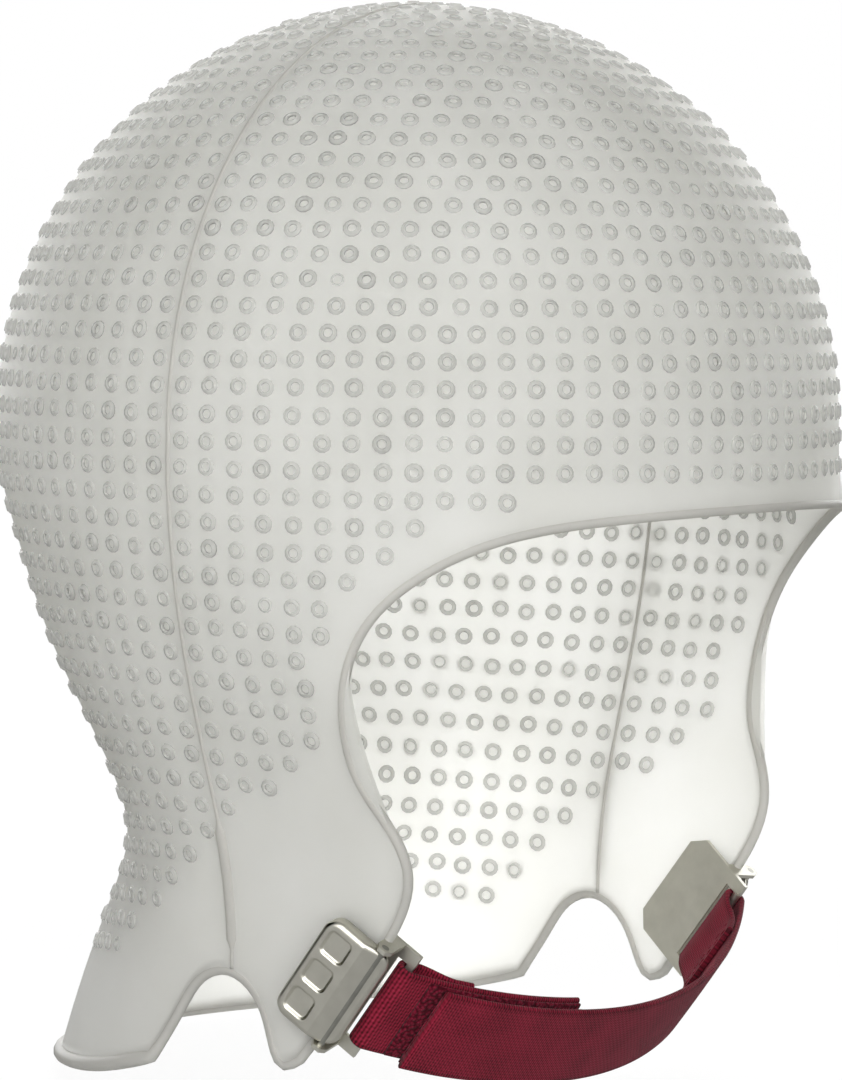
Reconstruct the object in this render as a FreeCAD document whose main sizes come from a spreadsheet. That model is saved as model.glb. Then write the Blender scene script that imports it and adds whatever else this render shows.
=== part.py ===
"""Highlighting cap with a two-piece hook-and-loop chin strap, in millimetres.

Frame: +Z up, the face looks towards -Y, the wearer's right side is -X.
Origin: centre of the head cavity, on the symmetry plane, level with the widest part of the dome.

The chin strap lies in a tilted plane, the strap plane. Its webbing bends only about its width
direction, so the strap and clip pieces are drawn in that plane and padded across it.
"""

import FreeCAD, Part
import math
import os

import Sketcher
from FreeCAD import Placement, Rotation, Vector

SIZES = {
    # dome: the upper half of an ellipsoid, a little longer in front than behind
    "dome_height": 87.5,
    "dome_half_width": 89.0,
    "dome_front": 88.5,
    "dome_back": 86.0,
    "wall": 1.5,
    # strap plane: its tilt about X, and where it crosses the symmetry plane between the clips
    "strap_tilt": 37.0,
    "strap_plane_y": -30.9,
    "strap_plane_z": -105.3,
    # clips, measured from each clip's centre on the lappet
    "clip_half_span": 66.25,
    "clip_toe_in": 12.0,
    "clip_width": 24.0,
    "clip_corner": 3.2,
    "plate_thick": 1.0,
    "plate_back": 8.0,
    "plate_front": 6.0,
    "plate_level": 2.7,
    "front_thick": 0.7,
    "front_back": 7.5,
    "front_nose": 7.0,
    "front_level": 2.1,
    "front_depth": 3.2,
    "front_bend": 1.5,
    "window_side": 5.4,
    "window_pitch": 7.2,
    "window_depth": 0.4,
    "window_centre": -3.0,
    "pin_reach": 4.6,
    "pin_level": 3.2,
    "pin_radius": 0.8,
    "pin_play": 0.06,
    "ear_thick": 0.9,
    "ear_play": 0.35,
    "ear_radius": 1.7,
    "bar_reach": 9.4,
    "bar_radius": 0.9,
    # webbing
    "strap_width": 20.0,
    "web_thick": 1.2,
    "fold_play": 0.35,
    "strap_drop": 16.5,
    "lap_gap": 3.2,
    "short_end_angle": 10.0,
    "long_end_angle": 28.0,
    "fold_tail": 15.0,
    "pile_thick": 0.8,
    "hook_thick": 0.6,
    "tape_margin": 0.6,
    "tape_start": 4.5,
    # stitches
    "stitch_length": 1.8,
    "stitch_thick": 0.5,
    "stitch_rows": 2,
    "stitch_count": 6,
    "stitch_pitch": 2.9,
    "stitch_setback": 3.0,
    "stitch_row_gap": 5.0,
}

# Horizontal sections of the cap below the dome: height, half width, length behind, length in
# front, and how square the front half is (2 is an ellipse).
SKIRT = [
    (0.0, 89.0, 86.0, 88.5, 2.0),
    (-5.0, 89.0, 85.8, 88.6, 2.0),
    (-22.0, 87.5, 80.0, 89.0, 2.2),
    (-45.0, 82.5, 70.0, 88.0, 2.7),
    (-68.0, 75.0, 55.5, 86.0, 3.4),
    (-82.0, 70.5, 51.0, 84.0, 3.6),
    (-95.0, 68.0, 57.0, 82.0, 3.6),
    (-112.0, 67.5, 67.0, 79.0, 3.6),
    (-138.0, 70.0, 77.5, 76.0, 3.6),
]

# Side outline of the lower edge, as (y, z): each run is smooth, and the runs meet at corners.
FACE_EDGE = [
    (-96.0, -13.0), (-80.0, -15.0), (-66.0, -18.5), (-54.0, -25.5), (-45.0, -34.5),
    (-40.0, -45.0), (-38.5, -56.0), (-40.0, -66.0), (-44.5, -74.5), (-47.0, -83.0),
    (-45.0, -91.0), (-40.0, -99.0), (-31.0, -110.5), (-22.0, -122.0),
]
EAR_EDGE = [
    (-22.0, -122.0), (-18.0, -123.5), (-15.0, -119.0), (-12.5, -113.0), (-8.5, -108.5),
    (-3.0, -106.5), (3.0, -108.5), (9.0, -116.0), (16.0, -126.0),
]
HEM_EDGE = [(16.0, -126.0), (32.0, -130.0), (52.0, -132.8), (72.0, -134.4), (96.0, -135.0)]

# Half size of the block that the side outline is cut from, well outside the cap.
LIMIT = 130.0
# How far a cutting tool runs past what it cuts.
SLACK = 1.0
# Share of the sheet's thickness by which a 45 degree corner moves in.
CORNER_SHARE = 0.4
# Level of the flange's tip above the clip cover's open edge.
TIP_RISE = 0.3
# Cosine and sine of the hinge ears' chamfer points.
EAR_COS, EAR_SIN = 0.5, 0.87

doc = FreeCAD.newDocument("highlighting_cap")
sheet = doc.addObject("Spreadsheet::Sheet", "Sizes")
for row, (name, value) in enumerate(SIZES.items(), start=1):
    sheet.set("A%d" % row, name)
    sheet.set("B%d" % row, str(value))
    sheet.setAlias("B%d" % row, name)
doc.recompute()


def size(name):
    """The value of one named cell of the sheet."""
    return float(sheet.get(name))


def finished(obj, label):
    """Names a sub-part and adds it to those that are written."""
    obj.Label = label
    FINISHED.append(obj)
    return obj


FINISHED = []

# ---------------------------------------------------------------- cap shell


def section_wire(half_width, behind, front, squareness, height):
    """Closed smooth wire of one horizontal section: an ellipse behind, squarer in front."""
    points = []
    steps = 48
    for step in range(steps):
        turn = 2.0 * math.pi * step / steps
        cos, sin = math.cos(turn), math.sin(turn)
        power = 2.0 if sin >= 0.0 else squareness
        reach = (abs(cos) ** power + abs(sin) ** power) ** (-1.0 / power)
        depth = behind if sin >= 0.0 else front
        points.append(Vector(half_width * cos * reach, depth * sin * reach, height))
    curve = Part.BSplineCurve()
    curve.interpolate(Points=points, PeriodicFlag=True)
    return Part.Wire([curve.toShape()])


def skirt_solid(name, inset):
    """Lofted solid from the widest level down past the hem, drawn in by inset."""
    wires = []
    for height, half_width, behind, front, squareness in SKIRT:
        wires.append(section_wire(half_width - inset, behind - inset, front - inset, squareness, height))
    skirt = doc.addObject("Part::Feature", name)
    skirt.Shape = Part.makeLoft(wires, True, False)
    return skirt


def dome_half(name, length, turn, inset):
    """Quarter ellipsoid above the widest level, behind (turn 0) or in front (turn 180)."""
    quarter = doc.addObject("Part::Ellipsoid", name)
    quarter.setExpression("Radius1", "Sizes.dome_height" + inset)
    quarter.setExpression("Radius2", "Sizes.dome_half_width" + inset)
    quarter.setExpression("Radius3", "Sizes." + length + inset)
    quarter.Angle1 = 0.0
    quarter.Angle2 = 90.0
    quarter.Angle3 = 180.0
    if turn:
        quarter.Placement = Placement(Vector(), Rotation(Vector(0, 0, 1), turn))
    return quarter


def fused(name, pieces):
    """One solid from pieces that share faces."""
    whole = doc.addObject("Part::MultiFuse", name)
    whole.Shapes = pieces
    whole.Refine = False
    return whole


def head_form(name, wall_cells, wall):
    """The whole closed head form: two dome halves on the skirt."""
    behind = dome_half(name + "_dome_behind", "dome_back", 0.0, wall_cells)
    front = dome_half(name + "_dome_front", "dome_front", 180.0, wall_cells)
    return fused(name, [behind, front, skirt_solid(name + "_skirt", wall)])


def smooth_run(points):
    """Spline edge through (y, z) points in the symmetry plane."""
    curve = Part.BSplineCurve()
    curve.interpolate([Vector(0.0, y, z) for y, z in points])
    return curve.toShape()


outer = head_form("head_form_outer", "", 0.0)
inner = head_form("head_form_inner", " - Sizes.wall", size("wall"))
wall_shell = doc.addObject("Part::Cut", "closed_wall")
wall_shell.Base = outer
wall_shell.Tool = inner

# The part of the wall that is kept lies above and behind the side outline.
top_left = Vector(0.0, HEM_EDGE[-1][0], LIMIT)
top_right = Vector(0.0, FACE_EDGE[0][0], LIMIT)
start = Vector(0.0, FACE_EDGE[0][0], FACE_EDGE[0][1])
end = Vector(0.0, HEM_EDGE[-1][0], HEM_EDGE[-1][1])
outline_wire = Part.Wire(
    [smooth_run(FACE_EDGE), smooth_run(EAR_EDGE), smooth_run(HEM_EDGE)]
    + [Part.makeLine(end, top_left), Part.makeLine(top_left, top_right), Part.makeLine(top_right, start)]
)
outline = doc.addObject("Part::Feature", "side_outline")
outline.Shape = Part.Face(outline_wire)
kept_block = doc.addObject("Part::Extrusion", "kept_block")
kept_block.Base = outline
kept_block.Dir = Vector(1, 0, 0)
kept_block.LengthFwd = LIMIT
kept_block.LengthRev = LIMIT
kept_block.Solid = True
shell = doc.addObject("Part::Common", "cap_shell")
shell.Base = wall_shell
shell.Tool = kept_block
finished(shell, "cap_shell")

# ---------------------------------------------------------------- helpers for padded bodies


def new_body(label, placement):
    """A PartDesign body with its own placement."""
    body = doc.addObject("PartDesign::Body", label)
    body.Placement = placement
    return finished(body, label)


def sketch_on(body, role, name, offset=0.0):
    """A sketch on one of the body's own origin planes, lifted by offset along its normal."""
    plane = next(f for f in body.Origin.OriginFeatures if f.Role == role)
    sketch = body.newObject("Sketcher::SketchObject", name)
    sketch.AttachmentSupport = [(plane, "")]
    sketch.MapMode = "FlatFace"
    sketch.AttachmentOffset = Placement(Vector(0, 0, offset), Rotation())
    return sketch


def join_ends(sketch, count):
    """Closes a chain of lines and arcs end to start."""
    for index in range(count):
        sketch.addConstraint(Sketcher.Constraint("Coincident", index, 2, (index + 1) % count, 1))


def polygon(sketch, points):
    """Closed polygon through (u, v) points."""
    ends = points[1:] + points[:1]
    for (u0, v0), (u1, v1) in zip(points, ends):
        sketch.addGeometry(Part.LineSegment(Vector(u0, v0, 0), Vector(u1, v1, 0)), False)
    join_ends(sketch, len(points))


def ring(sketch, centre, radius):
    """One full circle."""
    sketch.addGeometry(Part.Circle(Vector(centre[0], centre[1], 0), Vector(0, 0, 1), radius), False)


def pad(body, sketch, name, length, symmetric=False):
    """Pad whose length is an expression of the sheet."""
    feature = body.newObject("PartDesign::Pad", name)
    feature.Profile = sketch
    feature.setExpression("Length", length)
    if symmetric:
        feature.SideType = "Symmetric"
    body.Tip = feature
    doc.recompute()
    return feature


def pocket(body, sketch, name, length=None, reverse=False):
    """Pocket of a stated depth, or through everything both ways. It must remove material."""
    before = body.Shape.Volume
    feature = body.newObject("PartDesign::Pocket", name)
    feature.Profile = sketch
    if length is None:
        feature.Type = "ThroughAll"
        feature.SideType = "Symmetric"
    else:
        feature.setExpression("Length", length)
        feature.Reversed = reverse
    body.Tip = feature
    doc.recompute()
    if body.Shape.Volume > before - 1e-3:
        raise RuntimeError(name + " removed nothing")
    return feature


# ---------------------------------------------------------------- places in the strap plane

STRAP_PLANE = Placement(
    Vector(0.0, size("strap_plane_y"), size("strap_plane_z")),
    Rotation(Vector(1, 0, 0), size("strap_tilt")),
)
TOE_IN = math.radians(size("clip_toe_in"))
SIDES = {"right": -1.0, "left": 1.0}


def clip_axes(side):
    """Reach (towards the strap) and outward directions of one clip, in the strap plane."""
    reach = Vector(-side * math.sin(TOE_IN), -math.cos(TOE_IN), 0)
    outward = Vector(side * math.cos(TOE_IN), -math.sin(TOE_IN), 0)
    return reach, outward


def clip_point(side, reach, level):
    """A point of the strap plane given in one clip's reach and outward level."""
    along, outward = clip_axes(side)
    return Vector(side * size("clip_half_span"), 0, 0) + along * reach + outward * level


def clip_placement(side):
    """Clip frame: local X is reach, local Y is outward, local Z is across the webbing."""
    along, outward = clip_axes(side)
    turned = Rotation(along, outward, along.cross(outward), "XYZ")
    return STRAP_PLANE.multiply(Placement(clip_point(side, 0, 0), turned))


BAR_LEVEL = -(size("plate_level") + size("plate_thick") / 2)
HALF_CLIP = size("clip_width") / 2

# ---------------------------------------------------------------- clips


def make_back_plate(name, side):
    """Flat plate behind the lappet, with hinge ears and a round bar for the webbing."""
    body = new_body("clip_back_" + name, clip_placement(side))
    inner_face = -size("plate_level") - size("plate_thick")
    ear_out = HALF_CLIP + size("ear_play") + size("ear_thick")
    back, front, corner = -size("plate_back"), size("plate_front"), size("clip_corner")
    arm_in = size("strap_width") / 2 + size("fold_play")
    bar = size("bar_reach")
    bar_end = bar + size("bar_radius")
    # local XZ plane: its sketch runs along reach and width, and is lifted along outward
    plan = sketch_on(body, "XZ_Plane", "plate_plan", -inner_face)
    polygon(plan, [
        (back, -ear_out + corner), (back + corner, -ear_out), (bar_end, -ear_out), (bar_end, -arm_in),
        (front, -arm_in), (front, arm_in), (bar_end, arm_in), (bar_end, ear_out),
        (back + corner, ear_out), (back, ear_out - corner),
    ])
    plate = pad(body, plan, "plate", "Sizes.plate_thick")
    plate.Reversed = True
    doc.recompute()
    rod = sketch_on(body, "XY_Plane", "bar_section")
    ring(rod, (bar, BAR_LEVEL), size("bar_radius"))
    pad(body, rod, "bar", "Sizes.strap_width + 4 * Sizes.fold_play", symmetric=True)
    pin = (size("pin_reach"), size("pin_level"))
    radius = size("ear_radius")
    root = -size("plate_level") - size("plate_thick") / 2
    ears = sketch_on(body, "XY_Plane", "ear_section")
    polygon(ears, [
        (pin[0] - radius, root), (pin[0] + radius, root), (pin[0] + radius, pin[1]),
        (pin[0] + radius * EAR_COS, pin[1] + radius * EAR_SIN),
        (pin[0] - radius * EAR_COS, pin[1] + radius * EAR_SIN),
        (pin[0] - radius, pin[1]),
    ])
    ear_span = "2 * (Sizes.clip_width / 2 + Sizes.ear_play + Sizes.ear_thick)"
    pad(body, ears, "ear_block", ear_span, symmetric=True)
    gap = sketch_on(body, "YZ_Plane", "ear_gap")
    clear = HALF_CLIP + size("ear_play")
    top = pin[1] + radius + SLACK
    polygon(gap, [(-size("plate_level"), -clear), (top, -clear), (top, clear), (-size("plate_level"), clear)])
    pocket(body, gap, "between_ears")
    hole = sketch_on(body, "XY_Plane", "pin_holes")
    ring(hole, pin, size("pin_radius"))
    pocket(body, hole, "pin_hole")
    return body


def make_pin(name, side):
    """Hinge pin, tight in the ears."""
    pin = finished(doc.addObject("Part::Cylinder", "clip_pin_" + name), "clip_pin_" + name)
    pin.setExpression("Radius", "Sizes.pin_radius")
    length = "(Sizes.clip_width + 2 * Sizes.ear_play + 2 * Sizes.ear_thick)"
    pin.setExpression("Height", length)
    reach_out = HALF_CLIP + size("ear_play") + size("ear_thick")
    local = Placement(Vector(size("pin_reach"), size("pin_level"), -reach_out), Rotation())
    pin.Placement = clip_placement(side).multiply(local)
    return pin


def front_block(label, side, inset):
    """Chamfered block with a slanting nose, drawn in by inset on every face but the open one."""
    body = doc.addObject("PartDesign::Body", label)
    body.Placement = clip_placement(side)
    level, top = size("front_level"), size("front_level") + size("front_depth") - inset
    back, nose = inset - size("front_back"), size("front_nose") - inset
    half, corner = HALF_CLIP - inset, size("clip_corner") - inset * CORNER_SHARE
    plan = sketch_on(body, "XZ_Plane", label + "_outline", -(level - inset))
    polygon(plan, [
        (back, -half + corner), (back + corner, -half), (nose - corner, -half), (nose, -half + corner),
        (nose, half - corner), (nose - corner, half), (back + corner, half), (back, half - corner),
    ])
    block = pad(body, plan, label + "_pad", "Sizes.front_depth")
    block.Reversed = True
    doc.recompute()
    slant = sketch_on(body, "XY_Plane", label + "_slant")
    bend, tip = size("front_bend") - inset * CORNER_SHARE, nose + SLACK
    polygon(slant, [
        (bend, top), (tip, level + TIP_RISE - inset), (tip, top + SLACK), (bend, top + SLACK),
    ])
    pocket(body, slant, label + "_flange")
    return body


def make_front_plate(name, side):
    """Pressed cover plate: flat face with three windows, and a flange that slants to the strap."""
    label = "clip_front_" + name
    plate = doc.addObject("Part::Cut", label + "_hollowed")
    plate.Base = front_block(label + "_outer", side, 0.0)
    plate.Tool = front_block(label + "_inner", side, size("front_thick"))
    tools = []
    top = size("front_level") + size("front_depth")
    half = size("window_side") / 2
    for index in (-1, 0, 1):
        window = doc.addObject("Part::Box", "%s_window_%d" % (label, index + 2))
        window.setExpression("Length", "Sizes.window_side")
        window.setExpression("Height", "Sizes.window_side")
        window.setExpression("Width", "2 * Sizes.window_depth")
        across = index * size("window_pitch") - half
        local = Vector(size("window_centre") - half, top - size("window_depth"), across)
        window.Placement = clip_placement(side).multiply(Placement(local, Rotation()))
        tools.append(window)
    hole = doc.addObject("Part::Cylinder", label + "_pin_hole")
    hole.setExpression("Radius", "Sizes.pin_radius + Sizes.pin_play")
    hole.setExpression("Height", "2 * Sizes.clip_width")
    local = Vector(size("pin_reach"), size("pin_level"), -size("clip_width"))
    hole.Placement = clip_placement(side).multiply(Placement(local, Rotation()))
    cut = doc.addObject("Part::Cut", label)
    cut.Base = plate
    cut.Tool = fused(label + "_tools", tools + [hole])
    return finished(cut, label)


for side_name, side_sign in SIDES.items():
    make_back_plate(side_name, side_sign)
    make_pin(side_name, side_sign)
    make_front_plate(side_name, side_sign)

# ---------------------------------------------------------------- chin strap

WEB = size("web_thick")
BAR = clip_point(1.0, size("bar_reach"), BAR_LEVEL)
BAR_OFFSET = size("bar_radius") + size("fold_play") + WEB / 2
DROP = size("strap_drop")
SHORT_RADIUS = (BAR.x**2 + DROP**2) / (2 * DROP) + BAR_OFFSET
SHORT_CENTRE = Vector(0, BAR.y - DROP + SHORT_RADIUS - BAR_OFFSET, 0)


def on_arc(centre, radius, degrees):
    """Point on an arc, its angle measured from straight forward, positive to the wearer's left."""
    turn = math.radians(degrees)
    return centre + Vector(radius * math.sin(turn), -radius * math.cos(turn), 0)


BAR_ANGLE = math.degrees(math.asin(BAR.x / (SHORT_RADIUS - BAR_OFFSET)))
# The long strap's middle line starts on the left bar and passes outside the short strap.
long_arc = Part.Arc(
    on_arc(SHORT_CENTRE, SHORT_RADIUS, BAR_ANGLE),
    on_arc(SHORT_CENTRE, SHORT_RADIUS + size("lap_gap"), 0.0),
    on_arc(SHORT_CENTRE, SHORT_RADIUS + size("lap_gap"), -size("long_end_angle")),
).toShape().Curve
LONG_CENTRE, LONG_RADIUS = long_arc.Center, long_arc.Radius
left_offset = BAR - LONG_CENTRE
LONG_BAR_ANGLE = math.degrees(math.atan2(left_offset.x, -left_offset.y))
LONG_RADIUS = left_offset.Length + BAR_OFFSET


def band(sketch, centre, inside, outside, first, last):
    """Closed band between two radii and two angles."""
    corners = [
        on_arc(centre, outside, first), on_arc(centre, outside, last),
        on_arc(centre, inside, last), on_arc(centre, inside, first),
    ]
    middle = (first + last) / 2
    sketch.addGeometry(Part.Arc(corners[0], on_arc(centre, outside, middle), corners[1]), False)
    sketch.addGeometry(Part.LineSegment(corners[1], corners[2]), False)
    sketch.addGeometry(Part.Arc(corners[2], on_arc(centre, inside, middle), corners[3]), False)
    sketch.addGeometry(Part.LineSegment(corners[3], corners[0]), False)


def folded_webbing(label, centre, radius, bar_angle, end_angle):
    """Webbing that runs along an arc, folds round its bar and lies back under itself."""
    body = new_body(label, STRAP_PLANE)
    section = sketch_on(body, "XY_Plane", label + "_section")
    half = WEB / 2
    toward = 1.0 if bar_angle > end_angle else -1.0
    bar = on_arc(centre, radius - BAR_OFFSET, bar_angle)
    tail_radius = radius - 2 * BAR_OFFSET
    tail_angle = bar_angle - toward * math.degrees(size("fold_tail") / tail_radius)
    away = Vector(math.cos(math.radians(bar_angle)), math.sin(math.radians(bar_angle)), 0) * toward
    layers = [
        (radius + half, end_angle, bar_angle), (tail_radius - half, bar_angle, tail_angle),
        (tail_radius + half, tail_angle, bar_angle), (radius - half, bar_angle, end_angle),
    ]
    ends = []
    for reach, first, last in layers:
        ends.append([on_arc(centre, reach, angle) for angle in (first, (first + last) / 2, last)])
    fold_out = bar + away * (BAR_OFFSET + half)
    fold_in = bar + away * (BAR_OFFSET - half)
    edges = [
        Part.Arc(*ends[0]), Part.Arc(ends[0][2], fold_out, ends[1][0]),
        Part.Arc(*ends[1]), Part.LineSegment(ends[1][2], ends[2][0]),
        Part.Arc(*ends[2]), Part.Arc(ends[2][2], fold_in, ends[3][0]),
        Part.Arc(*ends[3]), Part.LineSegment(ends[3][2], ends[0][0]),
    ]
    for edge in edges:
        section.addGeometry(edge, False)
    pad(body, section, label + "_pad", "Sizes.strap_width", symmetric=True)
    return body


def tape(label, centre, inside, outside, first, last):
    """Hook or pile tape lying on one face of the webbing."""
    body = new_body(label, STRAP_PLANE)
    section = sketch_on(body, "XY_Plane", label + "_section")
    band(section, centre, inside, outside, first, last)
    pad(body, section, label + "_pad", "Sizes.strap_width - 2 * Sizes.tape_margin", symmetric=True)
    return body


def stitching(label, centre, radius, bar_angle, toward):
    """Rows of thread through both layers of a fold, as one group of separate stitches."""
    tail_radius = radius - 2 * BAR_OFFSET
    depth = 2 * BAR_OFFSET + WEB + size("stitch_thick")
    pieces = []
    for row in range(int(size("stitch_rows"))):
        travel = size("fold_tail") - size("stitch_setback") - size("stitch_row_gap") * row
        angle = bar_angle - toward * math.degrees(travel / tail_radius)
        middle = on_arc(centre, (radius + tail_radius) / 2, angle)
        turned = Rotation(Vector(0, 0, 1), angle)
        for index in range(int(size("stitch_count"))):
            across = (index - (size("stitch_count") - 1) / 2) * size("stitch_pitch")
            box = Part.makeBox(
                size("stitch_thick"), depth, size("stitch_length"),
                Vector(-size("stitch_thick") / 2, -depth / 2, -size("stitch_length") / 2),
            )
            box.Placement = Placement(middle + Vector(0, 0, across), turned)
            pieces.append(box)
    group = doc.addObject("Part::Feature", label)
    group.Shape = Part.makeCompound(pieces)
    group.Placement = STRAP_PLANE
    return finished(group, label)


short_start = -BAR_ANGLE + math.degrees(size("tape_start") / SHORT_RADIUS)
folded_webbing("strap_short", SHORT_CENTRE, SHORT_RADIUS, -BAR_ANGLE, -size("short_end_angle"))
folded_webbing("strap_long", LONG_CENTRE, LONG_RADIUS, LONG_BAR_ANGLE, -size("long_end_angle"))
tape(
    "loop_tape", SHORT_CENTRE, SHORT_RADIUS + WEB / 2,
    SHORT_RADIUS + WEB / 2 + size("pile_thick"), short_start, -size("short_end_angle"),
)
tape(
    "hook_tape", LONG_CENTRE, LONG_RADIUS - WEB / 2 - size("hook_thick"),
    LONG_RADIUS - WEB / 2, -size("long_end_angle"), -size("short_end_angle"),
)
stitching("stitching_short", SHORT_CENTRE, SHORT_RADIUS, -BAR_ANGLE, -1.0)
stitching("stitching_long", LONG_CENTRE, LONG_RADIUS, LONG_BAR_ANGLE, 1.0)

# ---------------------------------------------------------------- check and write

doc.recompute()
for obj in doc.Objects:
    if "Invalid" in obj.State or "Error" in obj.State:
        raise RuntimeError(obj.Name + " is " + str(obj.State))
os.makedirs("parts", exist_ok=True)
for obj in FINISHED:
    shape = obj.Shape
    if shape.isNull() or not shape.isValid() or not shape.Solids:
        raise RuntimeError(obj.Label + " has no valid solid")
for obj in FINISHED:
    obj.Shape.exportStep(os.path.join("parts", obj.Label + ".step"))
    print(obj.Label, len(obj.Shape.Solids), round(obj.Shape.Volume, 1))
for name, side in (("right", -1.0), ("left", 1.0)):
    pin_at = STRAP_PLANE.multVec(clip_point(side, size("pin_reach"), size("pin_level")))
    bar_at = STRAP_PLANE.multVec(clip_point(side, size("bar_reach"), BAR_LEVEL))
    print(name, "pin", [round(v, 3) for v in pin_at], "bar", [round(v, 3) for v in bar_at])
print("width direction", [round(v, 5) for v in STRAP_PLANE.Rotation.multVec(Vector(0, 0, 1))])
print("strap radii", round(SHORT_RADIUS, 2), round(LONG_RADIUS, 2), "bar angle", round(BAR_ANGLE, 2))
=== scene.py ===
"""Silicone highlighting cap with a two-piece chin strap: its visible surfaces, finishes and studio.

Sizes inside the classes are in millimetres in the part's own frame (+Z up, face towards -Y, the
wearer's right side is -X) and become metres when a mesh is made.
"""

import logging
import math
from dataclasses import dataclass
from enum import Enum
from typing import Any, Dict, Iterable, List, Optional, Sequence, Tuple

import bpy
import numpy as np
from mathutils import Matrix, Vector

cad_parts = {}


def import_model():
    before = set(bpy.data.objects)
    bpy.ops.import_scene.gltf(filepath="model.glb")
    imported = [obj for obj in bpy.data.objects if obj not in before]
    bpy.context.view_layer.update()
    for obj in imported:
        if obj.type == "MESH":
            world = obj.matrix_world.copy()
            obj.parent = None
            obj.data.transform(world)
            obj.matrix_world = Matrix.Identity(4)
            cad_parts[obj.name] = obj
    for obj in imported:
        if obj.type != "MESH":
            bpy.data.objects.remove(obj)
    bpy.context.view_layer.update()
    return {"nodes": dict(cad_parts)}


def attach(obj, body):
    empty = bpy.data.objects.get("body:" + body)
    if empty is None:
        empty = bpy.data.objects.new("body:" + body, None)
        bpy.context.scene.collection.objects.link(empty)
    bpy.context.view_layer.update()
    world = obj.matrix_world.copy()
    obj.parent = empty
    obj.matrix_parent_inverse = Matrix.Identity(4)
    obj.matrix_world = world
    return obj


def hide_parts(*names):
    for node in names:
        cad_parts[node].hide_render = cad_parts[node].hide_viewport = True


logging.basicConfig(level=logging.INFO, format="%(message)s")
LOG = logging.getLogger("highlighting_cap")
MM = 0.001
CHANCE_SEED = 11
Array = np.ndarray


class Side(Enum):
    """Which of the wearer's sides a piece is on; the value is the sign of X."""

    RIGHT = -1.0
    LEFT = 1.0


# ------------------------------------------------------------------------------- mesh helpers


def unit(vectors: Array) -> Array:
    """Vectors scaled to length one."""
    return vectors / np.maximum(np.linalg.norm(vectors, axis=-1, keepdims=True), 1e-12)


def spline(known: Sequence[float], values: Array, wanted: Array) -> Array:
    """Natural cubic spline: second slopes m solve the three-term equations of a smooth curve.

    Args:
        known: rising positions of the known values.
        values: one row of values per position.
        wanted: positions to read, kept inside the known range.

    Returns:
        One row of values per wanted position.
    """
    x = np.asarray(known, float)
    y = np.asarray(values, float).reshape(len(x), -1)
    gap = np.diff(x)
    system = np.eye(len(x))
    right = np.zeros_like(y)
    inner = np.arange(1, len(x) - 1)
    system[inner, inner - 1] = gap[:-1]
    system[inner, inner] = 2 * (gap[:-1] + gap[1:])
    system[inner, inner + 1] = gap[1:]
    slope = np.diff(y, axis=0) / gap[:, None]
    right[inner] = 6 * np.diff(slope, axis=0)
    bend = np.linalg.solve(system, right)
    at = np.clip(np.asarray(wanted, float), x[0], x[-1])
    cell = np.clip(np.searchsorted(x, at) - 1, 0, len(x) - 2)
    width = gap[cell][:, None]
    before = (x[cell + 1] - at)[:, None]
    after = (at - x[cell])[:, None]
    return (
        (bend[cell] * before**3 + bend[cell + 1] * after**3) / (6 * width)
        + (y[cell] / width - bend[cell] * width / 6) * before
        + (y[cell + 1] / width - bend[cell + 1] * width / 6) * after
    )


def run_length(points: Array) -> Array:
    """Distance travelled along a chain of points, starting at zero."""
    return np.concatenate([[0.0], np.cumsum(np.linalg.norm(np.diff(points, axis=0), axis=1))])


def even_steps(points: Array, count: int) -> Array:
    """The chain of points read again at count even steps of its length."""
    length = run_length(points)
    wanted = np.linspace(0, length[-1], count)
    return np.stack([np.interp(wanted, length, points[:, k]) for k in range(points.shape[1])], 1)


def smooth_chain(corners: Sequence[Tuple[float, float]], count: int) -> Array:
    """Smooth curve through a few outline points, read at even steps of its chords."""
    known = np.asarray(corners, float)
    chord = run_length(known)
    return spline(chord, known, np.linspace(0, chord[-1], count))


def step(low: float, high: float, values: Array) -> Array:
    """Smooth step 3u^2 - 2u^3 from 0 at low to 1 at high."""
    u = np.clip((values - low) / (high - low), 0, 1)
    return u * u * (3 - 2 * u)


def grid_quads(rows: int, columns: int, around: bool, first: int = 0) -> Array:
    """Four-sided faces of a grid stored row after row; around joins its last and first columns."""
    row = np.arange(rows - 1)[:, None]
    column = np.arange(columns if around else columns - 1)[None, :]
    beside = (column + 1) % columns
    corner = [row * columns + column, row * columns + beside]
    corner += [(row + 1) * columns + beside, (row + 1) * columns + column]
    quads = np.stack([np.broadcast_to(c, corner[0].shape) for c in corner], -1)
    return quads.reshape(-1, 4) + first


def fan(centre: int, ring: Array) -> Array:
    """Triangles from one point to a closed ring of points."""
    return np.stack([np.full(len(ring), centre), ring, np.roll(ring, -1)], 1)


def enclosed(points: Array, faces: Sequence[Array]) -> float:
    """Signed volume inside closed faces: sum of p0 . (p1 x p2) / 6 over their triangles."""
    total = 0.0
    for group in faces:
        for k in range(1, group.shape[1] - 1):
            a, b, c = (points[group[:, i]] for i in (0, k, k + 1))
            total += float(np.einsum("ij,ij->i", a, np.cross(b, c)).sum()) / 6
    return total


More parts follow.
